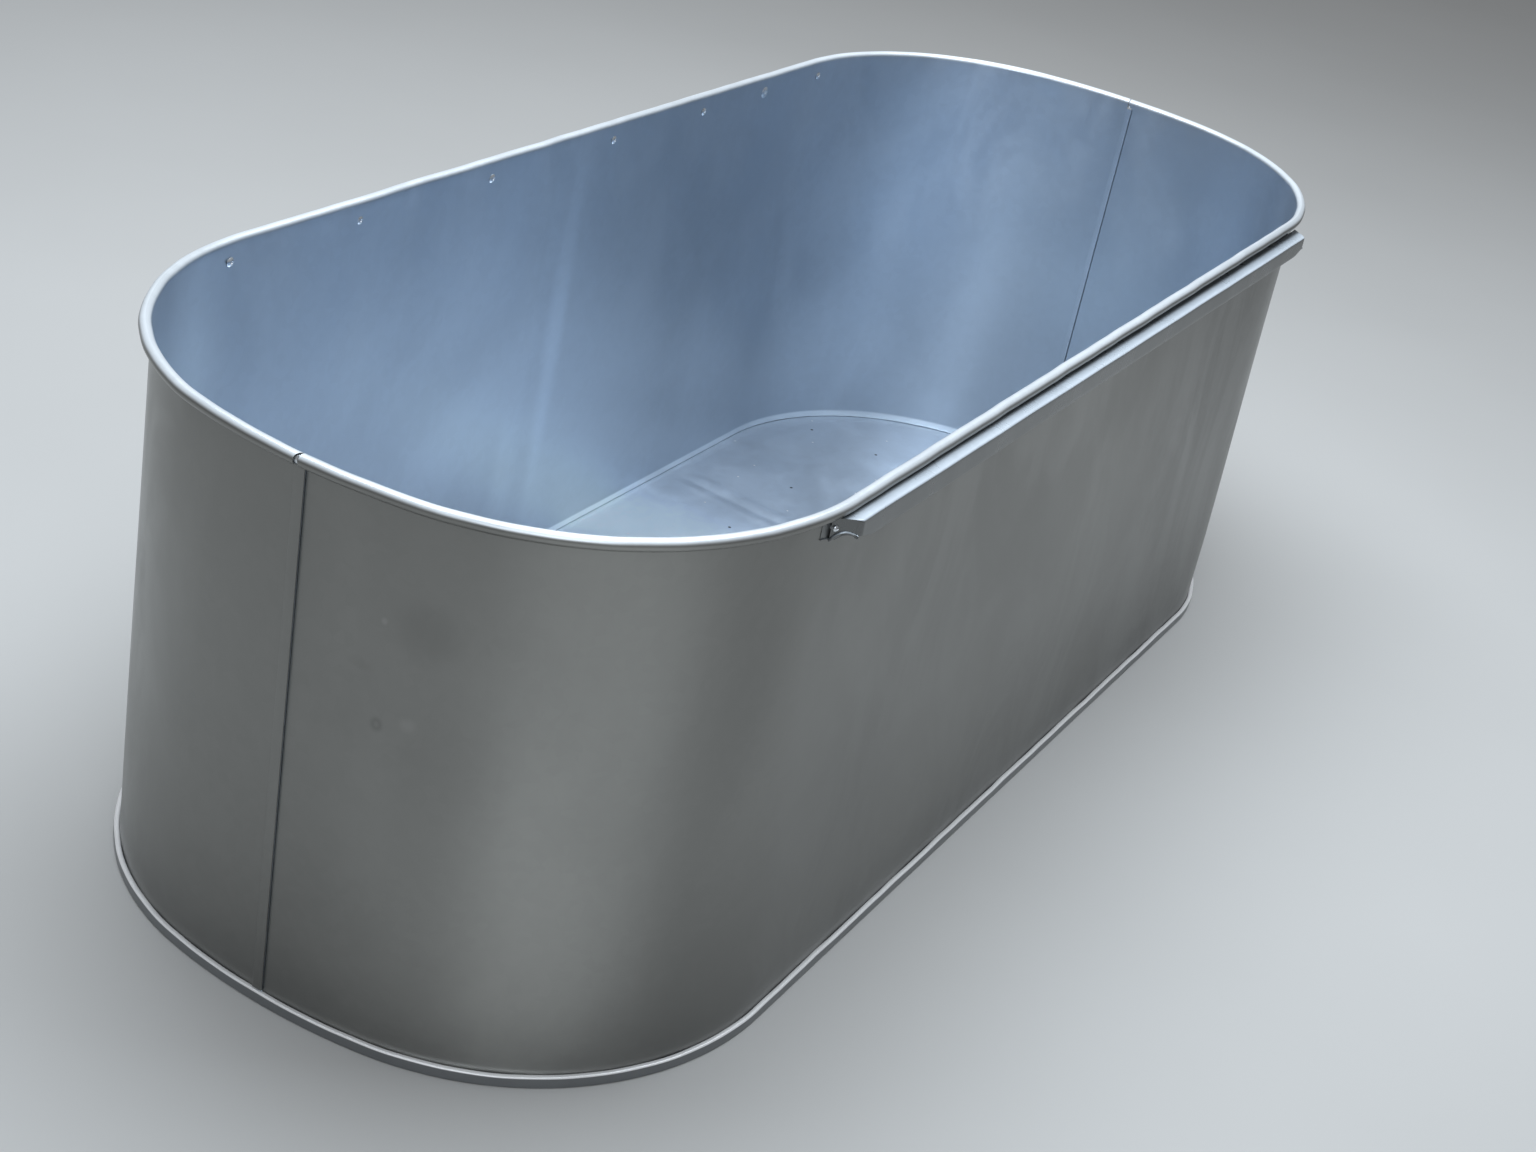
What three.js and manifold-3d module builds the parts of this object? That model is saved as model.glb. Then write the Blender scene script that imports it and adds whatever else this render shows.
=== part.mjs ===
// Oval livestock water trough of folded galvanised sheet, millimetres, +Z up.
// The origin is on the ground under the middle of the trough. X runs along its length.
// Two wall sheets meet in lock seams at the two ends. Each is rolled outward round a
// wire at the rim, is held by a folded double seam in the floor sheet at the base, and carries
// a capped side rail fixed with blind rivets.
import * as THREE from 'three';
import { mergeVertices } from 'three/addons/utils/BufferGeometryUtils.js';
import Module from 'manifold-3d';

const wasm = await Module();
wasm.setup();

// Plan of the walls' outer face at the ground: an oval of flat sides, corner arcs and end arcs.
const LENGTH = 1758.8;
const WIDTH = 725.6;
const CORNER_RADIUS = 303;
const END_RADIUS = 631.5;
const SEAM_FLAT = 16; // half width of the flat strip on each end that the lock seam needs
const CORNER_STEPS = 12;
const END_STEPS = 3;

// The walls spring inward at the sides and outward at the ends on the way up to the rim.
const RIM_HEIGHT = 578.5; // centre of the rolled rim
const RIM_NARROWING = 0.0375;
const RIM_LENGTHENING = 0.0112;

const SHEET = 1.2; // gauge of every sheet
const GAP = 0.3; // left between pieces that touch
const RIM_RADIUS = 6.2; // outside of the rolled rim
const RIM_CENTRE = RIM_RADIUS - SHEET; // from the walls' outer face
const WIRE_RADIUS = RIM_RADIUS - SHEET - GAP;
const ROLL_STEPS = 14;
const ROLL_END = -0.75 * Math.PI; // angle at which the rolled edge stops, short of the wall
const WIRE_SIDES = 8;
const WIRE_JOINT = 1;

// Double seam at the base, measured outward from the walls' outer face.
const BASE_HOOK_IN = 0.8; // inner face of the floor's downward hook
const WALL_HOOK_IN = 2.8; // inner face of the wall's upward hook
const BASE_LIP_IN = 4.8; // inner face of the floor's outer layer
const BASE_LIP_OUT = BASE_LIP_IN + SHEET;
const BASE_SEAM_HEIGHT = 13;
const WALL_HOOK_TOP = 10.5;
const BASE_HOOK_BOTTOM = 4;
const BASE_ROUNDING = 1.1;
const WALL_FOOT = SHEET + GAP; // underside of the wall's outward flange

// Lock seam between the two wall sheets, as distances along the end and outward from it.
const RIM_JOINT = 1.2; // gap between the two rolled rims
const LOCK_GAP = 0.4; // between the four layers of the seam
const LOCK_INSET = 0.1; // keeps the hooks' root inside the thickness of the sheet
const LOCK_ROOT = 14;
const LOCK_BOTTOM = BASE_SEAM_HEIGHT + 1.5;
const LOCK_TOP = RIM_HEIGHT - RIM_RADIUS - 1;
const LOCK_CLEARANCE = 0.5;
const RELIEF_DEPTH = 64; // through the leaning wall from its foot to the rim
const OVER_FOLD = -2; // visible folded edge of the upper sheet
const OVER_STEP = 9.5; // where the upper sheet steps outward
const UNDER_FOLD = 7.5; // folded edge of the lower sheet
const LOCK_PLAY = 0.8; // between a fold and the hook that it holds
const LAYER = SHEET + LOCK_GAP;

// Side rails, measured from the walls' outer face and from the line of rivets.
const RAIL_TOP = 10;
const RAIL_BOTTOM = -13;
const RAIL_WIDTH = 22;
const RAIL_FALL = 0.5; // drop of the top flange across its width
const RAIL_TOP_ROUNDING = 3.5;
const RAIL_BEND_STEPS = 4;
const RAIL_LIP_RISE = 4; // arch of the lower flange
const RAIL_LIP_STEPS = 6;
const RAIL_LIP_END = 4; // the lower flange stops this far from the wall
const RAIL_TAB = 28; // the back plate runs on this far past the capped end
const RAIL_NOSE = 16; // the top flange tapers off over this length of the back plate

// Where each side's rail was fixed: the height of its middle rivets, how far its middle is off
// the trough's along its own X, and its tilt, since the right rail wasn't fixed quite level.
const RAILS = {
  left: { halfLength: 580, height: 561.5, shift: -6, tilt: 0 },
  right: { halfLength: 604, height: 557.6, shift: -12.7, tilt: 0.0061 },
};

// Blind rivets, along X from the rail's middle. Each tab takes one more.
const RIVET_STATIONS = [-394, -162, 85, 292, 447];
const TAB_RIVET = 13; // past the capped end
const RIVET_SHANK = 2.5;
const RIVET_HEAD = 5.2;
const RIVET_HEAD_HEIGHT = 1.9;
const RIVET_SHOULDER = 0.88; // share of the head's radius halfway up the dome
const RIVET_CROWN = 0.55; // share of the head's radius at the top of the dome
const RIVET_BORE = 1.5;
const RIVET_BORE_DEPTH = 1.4;
const RIVET_BULB = 3.7;
const RIVET_BULB_LENGTH = 4;
const RIVET_SIDES = 10;
const HOLE_DEPTH = 20;
const BROAD_RIVET = 5; // index of the one rivet with a broad head, on the left side only
const BROAD_HEAD = 8;

const GALVANISED = { roughness: 0.38, metalness: 0.9 };

function solidFrom(geometry) {
  geometry.deleteAttribute('normal');
  geometry.deleteAttribute('uv');
  const merged = mergeVertices(geometry);
  const mesh = new wasm.Mesh({
    numProp: 3,
    vertProperties: new Float32Array(merged.attributes.position.array),
    triVerts: new Uint32Array(merged.index.array),
  });
  return new wasm.Manifold(mesh);
}

function geometryFrom(solid) {
  const mesh = solid.getMesh();
  const geometry = new THREE.BufferGeometry();
  geometry.setAttribute('position', new THREE.BufferAttribute(mesh.vertProperties, 3));
  geometry.setIndex(new THREE.BufferAttribute(mesh.triVerts, 1));
  geometry.computeVertexNormals();
  return geometry;
}

function namedMesh(name, geometry, colour, finish = GALVANISED) {
  const mesh = new THREE.Mesh(geometry, new THREE.MeshStandardMaterial({ color: colour, ...finish }));
  mesh.name = name;
  return mesh;
}

function polygon(points) {
  return new THREE.Shape(points.map(([x, y]) => new THREE.Vector2(x, y)));
}

function arcPoints(centreX, centreY, radius, from, to, steps) {
  return Array.from({ length: steps + 1 }, (_, i) => {
    const angle = from + ((to - from) * i) / steps;
    return [centreX + radius * Math.cos(angle), centreY + radius * Math.sin(angle)];
  });
}

// Centres of the end arcs and of the corner arcs that run on from them, in the quarter where
// X and Y are positive.
function arcCentres() {
  const reach = END_RADIUS - CORNER_RADIUS;
  const cornerY = WIDTH / 2 - CORNER_RADIUS;
  const endX = LENGTH / 2 - END_RADIUS;
  const cornerX = endX + Math.sqrt(reach ** 2 - cornerY ** 2);
  return { endX, cornerX, cornerY };
}

// How far the wall has curved away from its flat side at a place along X.
function wallSetback(along) {
  const past = Math.max(0, Math.abs(along) - arcCentres().cornerX);
  return CORNER_RADIUS - Math.sqrt(CORNER_RADIUS ** 2 - past ** 2);
}

// Stations round the left half of the plan, from the far end (+X) to the near end (-X), each
// with the direction in which the wall faces.
function planStations(halfJoint) {
  const { endX, cornerX, cornerY } = arcCentres();
  const turn = Math.atan2(cornerY, cornerX - endX);
  const flat = Math.asin(SEAM_FLAT / END_RADIUS);
  const quarter = [
    { x: LENGTH / 2, y: halfJoint, angle: 0 },
    { x: LENGTH / 2, y: SEAM_FLAT, angle: 0 },
  ];
  for (let i = 1; i <= END_STEPS; i += 1) {
    const angle = flat + ((turn - flat) * i) / END_STEPS;
    quarter.push({
      x: endX + END_RADIUS * Math.cos(angle),
      y: END_RADIUS * Math.sin(angle),
      angle,
    });
  }
  for (let i = 1; i <= CORNER_STEPS; i += 1) {
    const angle = turn + ((Math.PI / 2 - turn) * i) / CORNER_STEPS;
    quarter.push({
      x: cornerX + CORNER_RADIUS * Math.cos(angle),
      y: cornerY + CORNER_RADIUS * Math.sin(angle),
      angle,
    });
  }
  const mirrored = quarter.map(({ x, y, angle }) => ({ x: -x, y, angle: Math.PI - angle }));
  return [...quarter, ...mirrored.reverse()];
}

// The half plan as a curve whose parameter counts stations, so that a sweep puts one section
// at every station.
class HalfPlan extends THREE.Curve {
  constructor(halfJoint) {
    super();
    this.stations = planStations(halfJoint);
    this.steps = this.stations.length - 1;
  }

  getUtoTmapping(u) {
    return u;
  }

  blend(t, key) {
    const place = Math.min(t * this.steps, this.steps);
    const index = Math.min(Math.floor(place), this.steps - 1);
    return THREE.MathUtils.lerp(
      this.stations[index][key],
      this.stations[index + 1][key],
      place - index,
    );
  }

  getPoint(t, target = new THREE.Vector3()) {
    return target.set(this.blend(t, 'x'), this.blend(t, 'y'), 0);
  }

  getTangent(t, target = new THREE.Vector3()) {
    const angle = this.blend(t, 'angle');
    return target.set(-Math.sin(angle), Math.cos(angle), 0);
  }
}

// Sweeps a section round the half plan. Its points are [outward from the wall, height].
function sweepHalfPlan(section, halfJoint) {
  const path = new HalfPlan(halfJoint);
  const shape = polygon(section.map(([outward, height]) => [-height, -outward]));
  return new THREE.ExtrudeGeometry(shape, { steps: path.steps, extrudePath: path });
}

// The whole plan moved outward by offset and raised from bottom to top.
function planPrism(offset, bottom, top, rounding = 0) {
  const half = planStations(0).map(({ x, y, angle }) => [
    x + offset * Math.cos(angle),
    y + offset * Math.sin(angle),
  ]);
  const otherHalf = half.slice(1, -1).map(([x, y]) => [-x, -y]);
  const geometry = new THREE.ExtrudeGeometry(polygon([...half, ...otherHalf]), {
    depth: top - bottom - 2 * rounding,
    bevelEnabled: rounding > 0,
    bevelSize: rounding,
    bevelThickness: rounding,
    bevelOffset: -rounding,
    bevelSegments: 2,
  });
  geometry.translate(0, 0, bottom + rounding);
  return solidFrom(geometry);
}

function lean(geometry) {
  const position = geometry.attributes.position;
  for (let i = 0; i < position.count; i += 1) {
    const rise = position.getZ(i) / RIM_HEIGHT;
    position.setX(i, position.getX(i) * (1 + RIM_LENGTHENING * rise));
    position.setY(i, position.getY(i) * (1 - RIM_NARROWING * rise));
  }
  return geometry;
}

// Places a rail's own frame on the left wall: Y out of the sheet, origin on the rivet line.
function placeOnWall(object, rail) {
  const outward = (WIDTH / 2) * (1 - (RIM_NARROWING * rail.height) / RIM_HEIGHT);
  const wallAngle = Math.atan(((WIDTH / 2) * RIM_NARROWING) / RIM_HEIGHT);
  object.position.set(rail.shift, outward, rail.height);
  object.rotation.set(wallAngle, -rail.tilt, 0);
  object.updateMatrix();
  return object;
}

function rivetStations(rail) {
  const tab = rail.halfLength + TAB_RIVET;
  return [-tab, ...RIVET_STATIONS, tab];
}

function rivetHoles(rail) {
  const radius = RIVET_SHANK + GAP;
  return rivetStations(rail).map((station) => {
    const hole = new THREE.CylinderGeometry(radius, radius, HOLE_DEPTH, RIVET_SIDES);
    hole.translate(station, 0, 0);
    return hole;
  });
}

function wallSection() {
  const hookOut = WALL_HOOK_IN + SHEET;
  const roll = arcPoints(RIM_CENTRE, RIM_HEIGHT, RIM_RADIUS, Math.PI, ROLL_END, ROLL_STEPS);
  const bore = arcPoints(
    RIM_CENTRE,
    RIM_HEIGHT,
    RIM_RADIUS - SHEET,
    ROLL_END,
    Math.PI,
    ROLL_STEPS,
  );
  return [
    [0, WALL_FOOT + SHEET],
    [WALL_HOOK_IN, WALL_FOOT + SHEET],
    [WALL_HOOK_IN, WALL_HOOK_TOP],
    [hookOut, WALL_HOOK_TOP],
    [hookOut, WALL_FOOT],
    [-SHEET, WALL_FOOT],
    ...roll,
    ...bore,
  ];
}

// The lower sheet of a lock seam, folded back over itself. Points are [along the end, outward].
function underHook() {
  const root = [-SHEET + LOCK_INSET, -LOCK_INSET];
  const hookIn = 2 * LAYER - SHEET + LOCK_GAP;
  const hookOut = hookIn + SHEET;
  return [
    [-LOCK_ROOT, root[0]],
    [UNDER_FOLD, root[0]],
    [UNDER_FOLD, hookOut],
    [OVER_FOLD + SHEET + LOCK_PLAY, hookOut],
    [OVER_FOLD + SHEET + LOCK_PLAY, hookIn],
    [UNDER_FOLD - SHEET, hookIn],
    [UNDER_FOLD - SHEET, root[1]],
    [-LOCK_ROOT, root[1]],
  ];
}

// The upper sheet, stepped outward over the lower one and folded in behind its hook.
function overHook() {
  const root = [-SHEET + LOCK_INSET, -LOCK_INSET];
  const hookIn = LOCK_GAP;
  const hookOut = hookIn + SHEET;
  const coverIn = 3 * LAYER - SHEET;
  const coverOut = coverIn + SHEET;
  const hookEnd = UNDER_FOLD - SHEET - LOCK_PLAY;
  return [
    [LOCK_ROOT, root[0]],
    [LOCK_ROOT, root[1]],
    [OVER_STEP, root[1]],
    [OVER_STEP, coverOut],
    [OVER_FOLD, coverOut],
    [OVER_FOLD, hookIn],
    [hookEnd, hookIn],
    [hookEnd, hookOut],
    [OVER_FOLD + SHEET, hookOut],
    [OVER_FOLD + SHEET, coverIn],
    [OVER_STEP - SHEET, coverIn],
    [OVER_STEP - SHEET, root[0]],
  ];
}

// Raises a seam's outline on the far end (direction 1) or the near end (direction -1).
function seamSolid(outline, direction) {
  const shape = polygon(
    outline.map(([along, outward]) => [direction * (LENGTH / 2 + outward), -direction * along]),
  );
  const geometry = new THREE.ExtrudeGeometry(shape, {
    depth: LOCK_TOP - LOCK_BOTTOM,
    bevelEnabled: false,
  });
  geometry.translate(0, 0, LOCK_BOTTOM);
  return solidFrom(lean(geometry));
}

// Room for the lower sheet and its hook where the upper sheet steps outward at the near end.
function seamRelief() {
  const width = OVER_STEP - SHEET / 2 + RIM_JOINT;
  const height = LOCK_TOP - LOCK_BOTTOM + 2 * LOCK_CLEARANCE;
  const relief = new THREE.BoxGeometry(RELIEF_DEPTH, width, height);
  relief.translate(-LENGTH / 2, width / 2 - RIM_JOINT, (LOCK_TOP + LOCK_BOTTOM) / 2);
  return solidFrom(relief);
}

function wallGeometry(rail) {
  let wall = solidFrom(lean(sweepHalfPlan(wallSection(), RIM_JOINT / 2)));
  wall = wall.subtract(seamRelief());
  wall = wall.add(seamSolid(overHook(), -1));
  wall = wall.add(seamSolid(underHook(), 1));
  const place = placeOnWall(new THREE.Object3D(), rail).matrix;
  for (const hole of rivetHoles(rail)) {
    wall = wall.subtract(solidFrom(hole.applyMatrix4(place)));
  }
  return geometryFrom(wall);
}

function wireGeometry() {
  const step = (2 * Math.PI) / WIRE_SIDES;
  const circle = arcPoints(
    RIM_CENTRE,
    RIM_HEIGHT,
    WIRE_RADIUS,
    0,
    2 * Math.PI - step,
    WIRE_SIDES - 1,
  );
  return geometryFrom(solidFrom(lean(sweepHalfPlan(circle, WIRE_JOINT))));
}

function floorGeometry() {
  const foldUnder = BASE_SEAM_HEIGHT - SHEET;
  const overhead = BASE_SEAM_HEIGHT + SHEET;
  const block = planPrism(BASE_LIP_OUT, 0, BASE_SEAM_HEIGHT, BASE_ROUNDING);
  const channel = planPrism(BASE_LIP_IN, SHEET, foldUnder);
  const hook = planPrism(BASE_HOOK_IN + SHEET, BASE_HOOK_BOTTOM, overhead);
  const basin = planPrism(BASE_HOOK_IN, SHEET, overhead);
  const floor = block.subtract(channel.subtract(hook)).subtract(basin);
  return lean(geometryFrom(floor));
}

function railLip() {
  const from = RAIL_WIDTH - SHEET;
  return Array.from({ length: RAIL_LIP_STEPS + 1 }, (_, i) => {
    const share = i / RAIL_LIP_STEPS;
    const outward = THREE.MathUtils.lerp(from, RAIL_LIP_END, share);
    return [outward, RAIL_BOTTOM + RAIL_LIP_RISE * Math.sin(Math.PI * share)];
  });
}

// The rail's folded strip, from the foot of its back plate over the top to its lower flange.
function railSection() {
  const back = GAP;
  const shoulder = RAIL_TOP - RAIL_FALL;
  const bend = [RAIL_WIDTH - RAIL_TOP_ROUNDING, shoulder - RAIL_TOP_ROUNDING];
  const lip = railLip();
  return [
    [back, RAIL_BOTTOM],
    [back, RAIL_TOP],
    ...arcPoints(...bend, RAIL_TOP_ROUNDING, Math.PI / 2, 0, RAIL_BEND_STEPS),
    [RAIL_WIDTH, RAIL_BOTTOM],
    ...lip,
    ...lip.reverse().map(([outward, height]) => [outward, height + SHEET]),
    ...arcPoints(...bend, RAIL_TOP_ROUNDING - SHEET, 0, Math.PI / 2, RAIL_BEND_STEPS),
    [back + SHEET, RAIL_TOP - SHEET],
    [back + SHEET, RAIL_BOTTOM],
  ];
}

function railCapSection() {
  const shoulder = RAIL_TOP - RAIL_FALL;
  const inset = SHEET / 2;
  return [
    [GAP + inset, RAIL_TOP - inset],
    [RAIL_WIDTH - RAIL_TOP_ROUNDING, shoulder - inset],
    [RAIL_WIDTH - inset, shoulder - RAIL_TOP_ROUNDING],
    ...railLip().map(([outward, height]) => [outward - inset, height + inset]),
    [GAP + inset, RAIL_BOTTOM + inset],
  ];
}

// Raises a section in the rail's own frame between two places along X.
function alongRail(section, from, to) {
  const geometry = new THREE.ExtrudeGeometry(polygon(section), {
    depth: to - from,
    bevelEnabled: false,
  });
  geometry.rotateX(Math.PI / 2);
  geometry.rotateZ(Math.PI / 2);
  geometry.translate(from, 0, 0);
  return solidFrom(geometry);
}

function railNose(halfLength, direction) {
  const start = halfLength - SHEET / 2;
  const nose = polygon([
    [direction * start, GAP + SHEET / 2],
    [direction * (halfLength + RAIL_NOSE), GAP + SHEET / 2],
    [direction * start, RAIL_WIDTH - RAIL_TOP_ROUNDING],
  ]);
  const geometry = new THREE.ExtrudeGeometry(nose, { depth: SHEET, bevelEnabled: false });
  geometry.translate(0, 0, RAIL_TOP - SHEET - RAIL_FALL / 2);
  return solidFrom(geometry);
}

function railGeometry(rail) {
  const { halfLength } = rail;
  const tabEnd = halfLength + RAIL_TAB;
  const backPlate = [
    [GAP, RAIL_BOTTOM],
    [GAP, RAIL_TOP],
    [GAP + SHEET, RAIL_TOP],
    [GAP + SHEET, RAIL_BOTTOM],
  ];
  let channel = alongRail(railSection(), -halfLength, halfLength);
  channel = channel.add(alongRail(backPlate, -tabEnd, tabEnd));
  for (const direction of [-1, 1]) {
    const capEnds = [direction * (halfLength - SHEET), direction * halfLength];
    channel = channel.add(alongRail(railCapSection(), Math.min(...capEnds), Math.max(...capEnds)));
    channel = channel.add(railNose(halfLength, direction));
  }
  for (const hole of rivetHoles(rail)) {
    channel = channel.subtract(solidFrom(hole));
  }
  return geometryFrom(channel);
}

// A set blind rivet on the Y axis: a bored domed head inside the trough, a bulb in the rail, and
// a shank that is longer by reach where the wall curves away from the rail.
function rivetGeometry(headRadius, reach) {
  const headFoot = -SHEET - GAP - reach;
  const headTop = headFoot - RIVET_HEAD_HEIGHT;
  const bulbFoot = GAP + SHEET + GAP;
  const bulbTop = bulbFoot + RIVET_BULB_LENGTH;
  const profile = [
    [0, headTop + RIVET_BORE_DEPTH],
    [RIVET_BORE, headTop + RIVET_BORE_DEPTH],
    [RIVET_BORE, headTop],
    [headRadius * RIVET_CROWN, headTop],
    [headRadius * RIVET_SHOULDER, headFoot - RIVET_HEAD_HEIGHT / 2],
    [headRadius, headFoot],
    [RIVET_SHANK, headFoot],
    [RIVET_SHANK, bulbFoot],
    [RIVET_BULB, bulbFoot + RIVET_BULB_LENGTH / 3],
    [RIVET_SHANK, bulbTop],
    [0, bulbTop],
  ];
  const points = profile.map(([radius, height]) => new THREE.Vector2(radius, height));
  return geometryFrom(solidFrom(new THREE.LatheGeometry(points, RIVET_SIDES)));
}

function buildSide(side) {
  const rail = RAILS[side];
  const group = new THREE.Group();
  group.add(namedMesh(`wall_sheet_${side}`, wallGeometry(rail), 0x8d9499));
  group.add(namedMesh(`rim_wire_${side}`, wireGeometry(), 0x777b7e));
  const fittings = placeOnWall(new THREE.Group(), rail);
  fittings.add(namedMesh(`side_rail_${side}`, railGeometry(rail), 0x9aa1a5));
  rivetStations(rail).forEach((station, index) => {
    const headRadius = side === 'left' && index === BROAD_RIVET ? BROAD_HEAD : RIVET_HEAD;
    const reach = wallSetback(Math.abs(rail.shift + station) + headRadius);
    const shape = rivetGeometry(headRadius, reach);
    const rivet = namedMesh(`rail_rivet_${side}_${index + 1}`, shape, 0xb9bfc4);
    rivet.position.x = station;
    fittings.add(rivet);
  });
  group.add(fittings);
  return group;
}

function buildTrough() {
  const trough = new THREE.Group();
  trough.add(namedMesh('floor_sheet', floorGeometry(), 0xa9b4c0));
  trough.add(buildSide('left'));
  const right = buildSide('right');
  right.rotation.z = Math.PI;
  trough.add(right);
  return trough;
}

export default buildTrough();
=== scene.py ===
"""The looks of an oval livestock water trough of folded galvanised sheet, in metres, +Z up."""

import math

import bmesh
import bpy
import numpy as np
from mathutils import Euler, Matrix, Vector


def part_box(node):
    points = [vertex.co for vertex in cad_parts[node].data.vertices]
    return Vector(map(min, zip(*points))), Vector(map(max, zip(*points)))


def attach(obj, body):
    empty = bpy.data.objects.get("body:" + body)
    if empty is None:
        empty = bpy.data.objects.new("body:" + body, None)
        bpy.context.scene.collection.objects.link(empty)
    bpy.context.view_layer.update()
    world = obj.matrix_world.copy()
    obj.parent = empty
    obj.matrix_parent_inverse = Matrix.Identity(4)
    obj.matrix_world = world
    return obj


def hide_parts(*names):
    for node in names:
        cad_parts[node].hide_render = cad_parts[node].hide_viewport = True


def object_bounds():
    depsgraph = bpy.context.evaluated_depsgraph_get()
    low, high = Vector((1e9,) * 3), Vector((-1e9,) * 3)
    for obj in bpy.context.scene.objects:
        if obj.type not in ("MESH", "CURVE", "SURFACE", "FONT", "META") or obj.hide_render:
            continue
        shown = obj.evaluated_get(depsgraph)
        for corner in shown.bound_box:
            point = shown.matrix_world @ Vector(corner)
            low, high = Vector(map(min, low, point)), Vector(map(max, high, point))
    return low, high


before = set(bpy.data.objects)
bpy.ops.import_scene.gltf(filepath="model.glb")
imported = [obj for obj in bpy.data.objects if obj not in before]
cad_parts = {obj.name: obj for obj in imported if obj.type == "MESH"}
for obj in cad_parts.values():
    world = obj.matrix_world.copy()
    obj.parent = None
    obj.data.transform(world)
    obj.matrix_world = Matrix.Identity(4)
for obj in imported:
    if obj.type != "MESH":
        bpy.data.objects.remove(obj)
cad_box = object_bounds()

# Driving dimensions. The overall sizes come from the frame, the rest repeats the part's own.
SHEET = 0.0012
GAP = 0.0003
BASE_LIP_OUT = 0.006
FLOOR_LOW, FLOOR_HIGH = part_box("floor_sheet")
LENGTH = FLOOR_HIGH.x - FLOOR_LOW.x - 2 * BASE_LIP_OUT
WIDTH = FLOOR_HIGH.y - FLOOR_LOW.y - 2 * BASE_LIP_OUT
CORNER_RADIUS = 0.303
END_RADIUS = 0.6315
SEAM_FLAT = 0.016
RIM_RADIUS = 0.0062
RIM_HEIGHT = cad_box[1].z - RIM_RADIUS
RIM_CENTRE = RIM_RADIUS - SHEET
RIM_NARROWING = 0.0375
RIM_LENGTHENING = 0.0112
RIM_JOINT = 0.0012
WALL_FOOT = SHEET + GAP
BASE_SEAM_HEIGHT = FLOOR_HIGH.z
SIDES = {"left": 1, "right": -1}
RIVETS = 7

# Longest steps of the mesh round the end arcs, corner arcs and sides, and up the walls. The finer
# DENTED_STEP is for the near end's dents, but all four quarters share it: it runs from
# DENTED_START round the end arc to DENTED_CORNER into the corner arc, and on the walls also
# between DENTED_LEVELS in height.
END_STEP, CORNER_STEP, SIDE_STEP, WALL_STEP = 0.008, 0.007, 0.009, 0.008
DENTED_STEP = 0.003
DENTED_START = 0.060
DENTED_CORNER = 0.030
DENTED_LEVELS = (0.32, 0.42)

# Centres of the plan's end arcs and corner arcs, and the direction in which they meet.
END_X = LENGTH / 2 - END_RADIUS
CORNER_Y = WIDTH / 2 - CORNER_RADIUS
CORNER_X = END_X + math.sqrt((END_RADIUS - CORNER_RADIUS) ** 2 - CORNER_Y**2)
ARC_MEETING = math.atan2(CORNER_Y, CORNER_X - END_X)
WALL_LEAN = math.atan(WIDTH / 2 * RIM_NARROWING / RIM_HEIGHT)


# ---------------------------------------------------------------- shape helpers


def rounded(points, radius, steps=5):
    """A polyline with its corners turned into arcs."""
    points = [np.array(p, float) for p in points]
    line = [points[0]]
    for before, corner, after in zip(points, points[1:], points[2:]):
        to_before, to_after = before - corner, after - corner
        reach = min(np.linalg.norm(to_before), np.linalg.norm(to_after)) * 0.49
        u = to_before / np.linalg.norm(to_before)
        v = to_after / np.linalg.norm(to_after)
        half = math.acos(np.clip(u @ v, -1, 1)) / 2
        cut = min(radius / math.tan(half), reach)
        middle = corner + (u + v) / np.linalg.norm(u + v) * cut / math.cos(half)
        start, end = corner + u * cut - middle, corner + v * cut - middle
        sweep = math.pi - 2 * half
        for i in range(steps + 1):
            share = i / steps
            a = math.sin((1 - share) * sweep) / math.sin(sweep)
            b = math.sin(share * sweep) / math.sin(sweep)
            line.append(middle + a * start + b * end)
    line.append(points[-1])
    return np.array(line)


def subdivided(line, longest):
    """A polyline with no piece longer than longest."""
    fine = [line[0]]
    for a, b in zip(line, line[1:]):
        pieces = max(1, math.ceil(np.linalg.norm(b - a) / longest))
        fine += [a + (b - a) * i / pieces for i in range(1, pieces + 1)]
    return np.array(fine)


def thickened(line, thickness):
    """The outline of a strip of sheet whose middle follows a line."""
    run = np.gradient(line, axis=0)
    run /= np.linalg.norm(run, axis=1)[:, None]
    normal = np.column_stack([-run[:, 1], run[:, 0]]) * thickness / 2
    return np.vstack([line + normal, (line - normal)[::-1]])


def smooth_step(low, high, value):
    """0 up to low, 1 from high on, and an even curve between."""
    share = np.clip((value - low) / (high - low), 0, 1)
    return share * share * (3 - 2 * share)


def make_object(name, verts, faces, sharp_degrees=35):
    """A smooth-shaded mesh object with its doubled points merged and its normals made even."""
    mesh = bpy.data.meshes.new(name)
    mesh.from_pydata([tuple(v) for v in verts], [], faces)
    work = bmesh.new()
    work.from_mesh(mesh)
    bmesh.ops.remove_doubles(work, verts=work.verts, dist=1e-7)
    bmesh.ops.recalc_face_normals(work, faces=work.faces)
    work.to_mesh(mesh)
    work.free()
    mesh.shade_smooth()
    mesh.set_sharp_from_angle(angle=math.radians(sharp_degrees))
    piece = bpy.data.objects.new(name, mesh)
    bpy.context.scene.collection.objects.link(piece)
    return piece


def loft(grid, closed=False):
    """Vertices and faces of a closed outline carried along a path. grid is [station][point]."""
    stations, points = grid.shape[:2]
    verts = grid.reshape(-1, 3)
    faces = []
    for i in range(stations if closed else stations - 1):
        here, ahead = i * points, (i + 1) % stations * points
        for j in range(points):
            k = (j + 1) % points
            faces.append((here + j, ahead + j, ahead + k, here + k))
    if not closed:
        half = points // 2
        for base in (0, (stations - 1) * points):
            for j in range(half - 1):
                far = points - 1 - j
                faces.append((base + j, base + j + 1, base + far - 1, base + far))
    return verts, faces


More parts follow.
